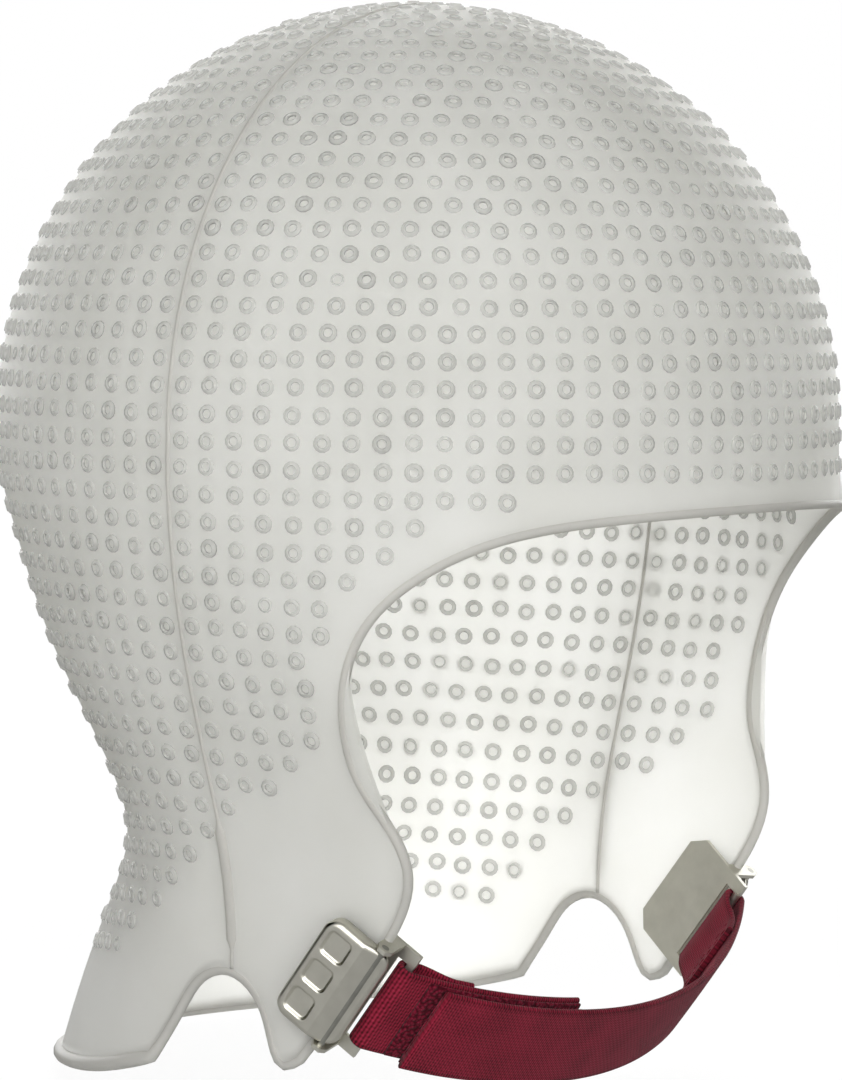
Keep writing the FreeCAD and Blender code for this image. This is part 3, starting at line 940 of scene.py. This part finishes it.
@dataclass
class StrapPlane:
    """Tilted plane of the chin strap: webbing bends only about its width direction."""

    tilt: float = math.radians(37.0)
    y: float = -30.9
    z: float = -105.3
    half_span: float = 66.25
    toe_in: float = math.radians(12.0)
    plate_level: float = 2.7
    plate_thick: float = 1.0
    bar_reach: float = 9.4
    bar_radius: float = 0.9
    web: float = 1.2
    width: float = 20.0
    fold_play: float = 0.35
    drop: float = 16.5
    lap_gap: float = 3.2
    short_end: float = math.radians(10.0)
    long_end: float = math.radians(28.0)

    def world(self, local: Array) -> Array:
        """Turns plane coordinates (across the face, forward, along the width) into the frame."""
        cos, sin = math.cos(self.tilt), math.sin(self.tilt)
        y = self.y + local[..., 1] * cos - local[..., 2] * sin
        z = self.z + local[..., 1] * sin + local[..., 2] * cos
        return np.stack([local[..., 0], y, z], -1)

    def clip(self, side: Side, reach: Array, level: Array, across: Array) -> Array:
        """Frame point of a clip: reach towards the strap, level outward, across the webbing."""
        sin, cos, s = math.sin(self.toe_in), math.cos(self.toe_in), side.value
        x = s * self.half_span - s * sin * reach + s * cos * level
        y = -cos * reach - sin * level
        return self.world(np.stack(np.broadcast_arrays(x, y, across), -1))

    def bar(self) -> Array:
        """Middle of the left clip's strap bar in the plane."""
        level = -(self.plate_level + self.plate_thick / 2)
        sin, cos = math.sin(self.toe_in), math.cos(self.toe_in)
        x = self.half_span - sin * self.bar_reach + cos * level
        return np.array([x, -cos * self.bar_reach - sin * level])

    @property
    def offset(self) -> float:
        """Distance from the bar's middle to the middle of the webbing round it."""
        return self.bar_radius + self.fold_play + self.web / 2

    def short_arc(self) -> Tuple[Array, float, float]:
        """Centre, radius and bar angle of the short strap's middle line."""
        x, y = self.bar()
        inner = (x**2 + self.drop**2) / (2 * self.drop)
        return np.array([0, y - self.drop + inner]), inner + self.offset, math.asin(x / inner)

    def long_arc(self) -> Tuple[Array, float, float]:
        """The same of the long strap, whose circle passes outside the short strap."""
        centre, radius, turn = self.short_arc()
        lapped = radius + self.lap_gap
        marks = [(radius, turn), (lapped, 0.0), (lapped, -self.long_end)]
        a, b, c = (centre + [r * math.sin(t), -r * math.cos(t)] for r, t in marks)
        system = 2 * np.array([b - a, c - a])
        middle = np.linalg.solve(system, [b @ b - a @ a, c @ c - a @ a])
        away = self.bar() - middle
        return middle, float(np.hypot(*away)) + self.offset, math.atan2(away[0], -away[1])


@dataclass
class Clip:
    """Stamped lever clip: pressed cover plate with three windows and a flange to the strap."""

    plane: StrapPlane
    side: Side
    back: float = -7.5
    nose: float = 7.0
    half: float = 12.0
    corner: float = 3.2
    roll: float = 1.1
    base: float = 2.1
    top: float = 5.3
    bend: float = 1.5
    slope: float = 2.9 / 6.5
    sheet: float = 0.7
    window: float = 2.7
    window_pitch: float = 7.2
    window_reach: float = -3.0
    window_corner: float = 1.2
    window_slope: Tuple[float, float] = (-0.35, 0.15)
    pressed: float = 0.6

    def height(self, reach: Array, across: Array) -> Array:
        """Outward level of the face: flat, then sloping to the nose, less the pressed windows.

        A window is a rounded square: its floor is reached where the rounded distance
        hypot(excess) to its outline is inside 0, and rises over the window's slope.
        """
        level = self.top - self.slope * np.maximum(reach - self.bend, 0)
        for index in (-1, 0, 1):
            u = np.abs(reach - self.window_reach) - self.window + self.window_corner
            v = np.abs(across - index * self.window_pitch) - self.window + self.window_corner
            gap = np.hypot(np.maximum(u, 0), np.maximum(v, 0)) + np.minimum(np.maximum(u, v), 0)
            sunk = 1 - step(*self.window_slope, gap - self.window_corner)
            level = level - self.pressed * sunk
        return level

    def build(self, plate: bpy.types.Material) -> None:
        """Cover plate: a grid drawn round at its corners, a rolled edge, and a wall below it.

        In each corner square the grid point d from the corner's centre moves to
        d max(dx, dy) / |d|, which bends the square's edge to an arc.
        """
        middle, half_u = (self.back + self.nose) / 2, (self.nose - self.back) / 2 - self.roll
        half_v, corner = self.half - self.roll, self.corner - self.roll
        u, v = np.meshgrid(np.linspace(-half_u, half_u, 64), np.linspace(-half_v, half_v, 112))
        du = np.abs(u) - (half_u - corner)
        dv = np.abs(v) - (half_v - corner)
        both = (du > 0) & (dv > 0)
        pull = np.where(both, np.maximum(du, dv) / np.maximum(np.hypot(du, dv), 1e-9), 1.0)
        fu = np.where(both, np.sign(u) * (half_u - corner + du * pull), u)
        fv = np.where(both, np.sign(v) * (half_v - corner + dv * pull), v)
        rows, columns = u.shape
        number = np.arange(rows * columns).reshape(rows, columns)
        sides = [number[0, :-1], number[:-1, -1], number[-1, :0:-1], number[:0:-1, 0]]
        ring = np.concatenate(sides)
        flat = np.stack([fu.ravel(), fv.ravel()], 1)
        core = np.stack([half_u - corner, half_v - corner])
        off = flat[ring] - np.clip(flat[ring], -core, core)
        out = unit(off)
        reach, across = flat[:, 0] + middle, flat[:, 1]
        level = self.height(reach, across)
        surfaces = [self.plane.clip(self.side, reach, level, across)]
        turn = np.linspace(0, math.pi / 2, 7)[1:]
        moves = [(self.roll * math.sin(t), self.roll * (1 - math.cos(t)), 0.0) for t in turn]
        moves += [(self.roll, self.roll, share) for share in (0.5, 1.0)]
        for wide, fall, share in moves:
            spot = flat[ring] + out * wide
            drop = level[ring] - fall
            drop = np.maximum(drop + (self.base - drop) * share, self.base)
            surfaces.append(self.plane.clip(self.side, spot[:, 0] + middle, drop, spot[:, 1]))
        points = np.concatenate(surfaces)
        count, around = rows * columns, len(ring)
        below = count + np.arange(len(moves) * around).reshape(-1, around)
        lines = np.concatenate([ring[None], below])
        skirt = grid_quads(len(lines), around, True)
        skirt = lines.ravel()[skirt]
        panel = grid_quads(rows, columns, False)
        faces = [np.concatenate([panel, skirt[:, ::-1]])]
        name = self.side.name.lower()
        piece = make_piece(
            "clip_cover_" + name, points, faces, plate, "front_" + name,
            ["clip_front_" + name], flip=self.side is Side.LEFT,
        )
        shell = piece.modifiers.new("sheet", "SOLIDIFY")
        shell.thickness = self.sheet * MM
        shell.offset = -1.0
        shell.use_even_offset = True


@dataclass
class Webbing:
    """One length of webbing: an arc in the strap plane, a fold round its bar and a sewn tail."""

    plane: StrapPlane
    name: str
    body: str
    centre: Array
    radius: float
    bar_angle: float
    end_angle: float
    tail: float = 15.0
    tail_gap: float = 0.15
    tail_close: Tuple[float, float] = (0.15, 0.75)
    wave: float = 0.0
    wave_along: float = 17.0
    wave_across: float = 9.0
    calm_start: Tuple[float, float] = (8.0, 20.0)
    calm_end: Tuple[float, float] = (45.0, 30.0)
    tape_margin: float = 0.6
    stitch_rows: Tuple[float, float] = (1.6, 4.6)
    stitch_count: int = 6
    stitch_pitch: float = 2.9
    stitch_half: float = 1.05
    stitch_lift: float = 0.02
    thread_radius: float = 0.26

    def on_arc(self, radius: Array, angle: Array) -> Array:
        """Plane points at an angle from straight forward, positive to the wearer's left."""
        x = self.centre[0] + radius * np.sin(angle)
        return np.stack(np.broadcast_arrays(x, self.centre[1] - radius * np.cos(angle)), -1)

    def middle_line(self) -> Array:
        """Arc to the bar, half circle round it, and the tail, which closes up to the outer layer.

        The tail's radius rises from two bar offsets inside the arc to one webbing thickness.
        """
        p, toward = self.plane, 1.0 if self.bar_angle > self.end_angle else -1.0
        run = self.on_arc(self.radius, np.linspace(self.end_angle, self.bar_angle, 120))
        bar = self.on_arc(self.radius - p.offset, self.bar_angle)
        start = math.atan2(*(run[-1] - bar)[::-1])
        turn = start + toward * np.linspace(0, math.pi, 16)[1:-1]
        fold = bar + p.offset * np.stack([np.cos(turn), np.sin(turn)], 1)
        share = np.linspace(0, 1, 30)
        close = step(*self.tail_close, share) * (2 * p.offset - p.web - self.tail_gap)
        inner = self.radius - 2 * p.offset
        tail = self.on_arc(inner + close, self.bar_angle - toward * share * self.tail / inner)
        return np.concatenate([run, fold, tail])

    def build(self, finish: bpy.types.Material) -> None:
        """Sweeps a thin rounded section along the middle line; cloth coordinates are in mm."""
        line = self.middle_line()
        path = np.stack([line[:, 0], line[:, 1], np.zeros(len(line))], 1)
        along = unit(np.gradient(path, axis=0))
        side = np.tile([0.0, 0.0, 1.0], (len(path), 1))
        up = np.cross(side, along)
        half, thick = self.plane.width / 2, self.plane.web / 2
        flat = np.linspace(-1, 1, 21)
        turn = np.linspace(-math.pi / 2, math.pi / 2, 7)[1:-1]
        round_u, round_v = half - thick + thick * np.cos(turn), thick * np.sin(turn)
        u = np.concatenate([flat * (half - thick), round_u, -flat * (half - thick), -round_u])
        v = np.concatenate([-thick + 0 * flat, round_v, thick + 0 * flat, -round_v])
        profile = np.stack([u, v], 1)
        points, faces = tube(path, side, up, profile, False)
        length = run_length(path)
        travel = np.concatenate([np.repeat(length, len(profile)), [length[0], length[-1]]])
        cloth = np.stack([points[:, 2], travel], 1)
        swell = self.wave * np.sin(travel / self.wave_along)
        swell = swell * np.cos(points[:, 2] / self.wave_across)
        spread = np.concatenate([np.repeat(up, len(profile), 0), up[[0, -1]]])
        calm_from, calm_to = (length[-1] - mark for mark in self.calm_end)
        free = step(*self.calm_start, travel) * (1 - step(calm_from, calm_to, travel))
        points = points + spread * (swell * free)[:, None]
        make_piece(
            self.name, self.plane.world(points), faces, finish, self.body,
            [self.name], uv=cloth,
        )

    def tape(
        self, name: str, finish: bpy.types.Material, inside: float, outside: float,
        first: float, last: float,
    ) -> None:
        """Tape on one face of the webbing, between two levels from its middle line."""
        angle = np.linspace(first, last, 60)
        line = self.on_arc(self.radius + (inside + outside) / 2, angle)
        path = np.stack([line[:, 0], line[:, 1], np.zeros(len(line))], 1)
        along = unit(np.gradient(path, axis=0))
        side = np.tile([0.0, 0.0, 1.0], (len(path), 1))
        up = np.cross(side, along)
        half, thick = self.plane.width / 2 - self.tape_margin, (outside - inside) / 2
        turn = np.linspace(0, 2 * math.pi, 25)[:-1]
        u = np.sign(np.cos(turn)) * np.abs(np.cos(turn)) ** 0.15 * half
        v = np.sign(np.sin(turn)) * np.abs(np.sin(turn)) ** 0.45 * thick
        points, faces = tube(path, side, up, np.stack([u, v], 1), False)
        make_piece(name, self.plane.world(points), faces, finish, self.body, [name])

    def stitches(self, name: str, finish: bpy.types.Material) -> None:
        """Two rows of lock stitches: a plump thread link on each face of the sewn fold."""
        p, toward = self.plane, 1.0 if self.bar_angle > self.end_angle else -1.0
        inner = self.radius - 2 * p.offset
        turn = np.linspace(0, 2 * math.pi, 9)[:-1]
        ball = np.linspace(0, math.pi, 7)[1:-1]
        links, faces, count = [], [], 0
        above = self.radius + p.web / 2 + self.stitch_lift
        below = self.radius - 1.5 * p.web - (self.tail_gap + self.stitch_lift)
        for setback in self.stitch_rows:
            angle = self.bar_angle - toward * (self.tail - setback) / inner
            for level in (above, below):
                for index in range(self.stitch_count):
                    across = (index - (self.stitch_count - 1) / 2) * self.stitch_pitch
                    spot = self.on_arc(level, angle)
                    x = np.outer(np.sin(ball), np.cos(turn)) * self.thread_radius
                    y = np.outer(np.sin(ball), np.sin(turn)) * self.thread_radius
                    z = np.repeat(np.cos(ball)[:, None], len(turn), 1) * self.stitch_half
                    link = np.stack([spot[0] + x, spot[1] + y, across + z], -1).reshape(-1, 3)
                    links.append(link)
                    first, last = np.arange(len(turn)), np.arange(len(link) - len(turn), len(link))
                    quads = grid_quads(len(ball), len(turn), True, count)
                    faces.append((quads, np.array([first[::-1], last]) + count))
                    count += len(link)
        groups = [np.concatenate([f[0] for f in faces]), np.concatenate([f[1] for f in faces])]
        points = self.plane.world(np.concatenate(links))
        make_piece(name, points, groups, finish, self.body, [name])


@dataclass
class ChinStrap:
    """Short and long webbing with their hook-and-loop tapes and stitching."""

    plane: StrapPlane
    loop_height: float = 0.8
    hook_height: float = 0.6
    loop_start: float = 4.5

    def build(
        self,
        web: bpy.types.Material,
        pile: bpy.types.Material,
        hook: bpy.types.Material,
        thread: bpy.types.Material,
    ) -> None:
        """Makes both straps."""
        p = self.plane
        centre, radius, turn = p.short_arc()
        short = Webbing(p, "strap_short", "short_strap", centre, radius, -turn, -p.short_end)
        centre, radius, turn = p.long_arc()
        long = Webbing(p, "strap_long", "long_strap", centre, radius, turn, -p.long_end, wave=0.3)
        short.build(web)
        long.build(web)
        face = p.web / 2
        start = short.bar_angle + self.loop_start / short.radius
        short.tape(
            "loop_tape", pile, face, face + self.loop_height, start, short.end_angle
        )
        long.tape(
            "hook_tape", hook, -face - self.hook_height, -face, long.end_angle, -p.short_end
        )
        short.stitches("stitching_short", thread)
        long.stitches("stitching_long", thread)


# ------------------------------------------------------------------------------------ studio


@dataclass
class Studio:
    """White room with the light behind the cap, and the camera at its three-quarter view."""

    azimuth: float = math.radians(-54.8)
    elevation: float = math.radians(3.41)
    roll: float = math.radians(0.64)
    distance: float = 0.855
    target: Tuple[float, float, float] = (0.0, -0.00195, -0.02425)
    field: float = math.radians(15.11)
    floor_z: float = -0.1372
    backlight: float = 6.6
    beside: float = 0.03
    room: float = 0.7
    backdrop: float = 0.8
    floor_light: float = 0.4
    floor_gloss: float = 0.06
    floor_radius: float = 6.0
    fade: Tuple[float, float, float, float] = (0.07, 0.24, 0.76, 0.9)
    shoulder: float = 0.9

    def toward_camera(self) -> Vector:
        """Unit direction from the target to the camera."""
        a, e = self.azimuth, self.elevation
        return Vector((math.sin(a) * math.cos(e), -math.cos(a) * math.cos(e), math.sin(e)))

    def camera(self) -> None:
        """Camera with its horizon rolled by a small angle."""
        back = self.toward_camera()
        right = Vector((math.cos(self.azimuth), math.sin(self.azimuth), 0))
        up = back.cross(right)
        turned = right * math.cos(self.roll) + up * math.sin(self.roll)
        upright = back.cross(turned)
        data = bpy.data.cameras.new("camera")
        data.lens = data.sensor_width / 2 / math.tan(self.field / 2)
        data.clip_start, data.clip_end = 0.05, 50.0
        camera = bpy.data.objects.new("camera", data)
        bpy.context.scene.collection.objects.link(camera)
        spin = Matrix((turned, upright, back)).transposed().to_4x4()
        camera.matrix_world = Matrix.Translation(Vector(self.target) + back * self.distance) @ spin
        bpy.context.scene.camera = camera

    def floor(self) -> None:
        """Pale floor that glows like a lit acrylic sweep."""
        material, tree = new_material("white_acrylic_sweep")
        path = add_node(tree, "ShaderNodeLightPath")
        power = add_node(
            tree, "ShaderNodeMapRange",
            {"Value": path.outputs["Is Camera Ray"], "To Min": self.floor_light, "To Max": 1.0},
        )
        glow = add_node(
            tree, "ShaderNodeEmission",
            {"Color": linear("FFFFFF"), "Strength": power.outputs["Result"]},
        )
        skin = add_node(
            tree, "ShaderNodeBsdfPrincipled", {"Base Color": linear("FAFAFA"), "Roughness": 0.6}
        )
        both = add_node(
            tree,
            "ShaderNodeMixShader",
            {0: self.floor_gloss, 1: glow.outputs[0], 2: skin.outputs["BSDF"]},
        )
        add_node(tree, "ShaderNodeOutputMaterial", {"Surface": both.outputs["Shader"]})
        mesh = bpy.data.meshes.new("floor")
        turn = np.linspace(0, 2 * math.pi, 65)[:-1]
        wide = self.floor_radius
        rim = np.stack(
            [wide * np.cos(turn), wide * np.sin(turn), np.full(len(turn), self.floor_z)], 1
        )
        mesh.from_pydata(rim.tolist(), [], [list(range(len(rim)))])
        mesh.materials.append(material)
        floor = bpy.data.objects.new("floor", mesh)
        bpy.context.scene.collection.objects.link(floor)

    def light(self) -> None:
        """White surround: full strength behind the cap, fading to a dim room beside the camera."""
        world = bpy.data.worlds.new("studio")
        bpy.context.scene.world = world
        world.use_nodes = True
        tree = world.node_tree
        tree.nodes.clear()
        place = add_node(tree, "ShaderNodeTexCoord")
        away = -self.toward_camera()
        facing = add_node(
            tree, "ShaderNodeVectorMath", {0: place.outputs["Generated"], 1: tuple(away)},
            operation="DOT_PRODUCT",
        )
        share = add_node(
            tree, "ShaderNodeMapRange",
            {"Value": facing.outputs["Value"], "From Min": -1.0, "From Max": 1.0},
        )
        fade = add_node(tree, "ShaderNodeFloatCurve", {"Value": share.outputs["Result"]})
        curve = fade.mapping.curves[0]
        curve.points[0].location = (0.0, self.room)
        curve.points[1].location = (1.0, self.backdrop)
        levels = self.shoulder * self.room, self.beside, self.beside, self.backdrop
        for x, y in zip(self.fade, levels):
            curve.points.new(x, y)
        fade.mapping.update()
        power = add_node(
            tree, "ShaderNodeMath", {0: fade.outputs["Value"], 1: self.backlight},
            operation="MULTIPLY",
        )
        lit = add_node(
            tree, "ShaderNodeBackground",
            {"Color": linear("FFFFFF"), "Strength": power.outputs["Value"]},
        )
        seen = add_node(
            tree, "ShaderNodeBackground", {"Color": linear("FFFFFF"), "Strength": 1.0}
        )
        path = add_node(tree, "ShaderNodeLightPath")
        both = add_node(
            tree, "ShaderNodeMixShader",
            {0: path.outputs["Is Camera Ray"], 1: lit.outputs[0], 2: seen.outputs[0]},
        )
        add_node(tree, "ShaderNodeOutputWorld", {"Surface": both.outputs["Shader"]})

    def build(self) -> None:
        """Sets up the whole studio."""
        bpy.context.scene.view_settings.view_transform = "Standard"
        self.camera()
        self.floor()
        self.light()


def main(frame: Dict[str, Any]) -> None:
    """Builds and dresses every piece of the cap.
    """
    silicone = MouldedSilicone("moulded_silicone", "F3F3F0", "F8F8F6", 0.72).material()
    # painted shade: a darker copy of the wall's silicone for the rim bead and seam, standing in for
    # the shade of light passing through thicker silicone
    thick = MouldedSilicone("moulded_silicone_painted_shade", "DAD9D5", "E2E1DD", 0.62).material()
    # painted shade: a darker, partly see-through copy of the silicone for the dimple rings,
    # standing in for the shade of the thicker silicone there
    ring = MouldedSilicone("moulded_silicone_rings_painted_shade", "D8D8D5", "E2E2DF", 0.5, 0.45, 0.2).material()
    nickel = PlatedSteel("satin_nickel_plate", "C4C2B7", "CECCC1", 0.4).material()
    steel = PlatedSteel("rolled_steel_wire", "8B8B84", "A5A49C", 0.38).material()
    # the first colour is painted shade in the weave's furrows and the last a painted highlight on
    # its ribs
    web = WovenTape("crimson_polyester_webbing", "30000A", "6E0F24", "8B2037").material()
    # the pile, hook and thread finishes carry painted shade in the hollows between their loops and
    # are lighter on the loop tops
    pile = PileTape("crimson_loop_pile", "3A000E", "7A1A30").material()
    hook = PileTape("crimson_moulded_hooks", "4A0012", "8B2037", 1.1).material()
    thread = PileTape("crimson_sewing_thread", "5A0A1C", "9C3A4E", 0.4).material()

    CapShell(CapForm(), CapOutline()).build(silicone, thick, ring)
    plane = StrapPlane()
    for side in Side:
        Clip(plane, side).build(nickel)
        name = side.name.lower()
        for node, finish in (("clip_back_" + name, nickel), ("clip_pin_" + name, steel)):
            materials = frame["nodes"][node].data.materials
            materials.clear()
            materials.append(finish)
            LOG.info("%s keeps its CAD shape", node)
    ChinStrap(plane).build(web, pile, hook, thread)
    Studio().build()


if __name__ == "__main__":
    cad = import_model()
    main(cad)
    bpy.context.view_layer.update()
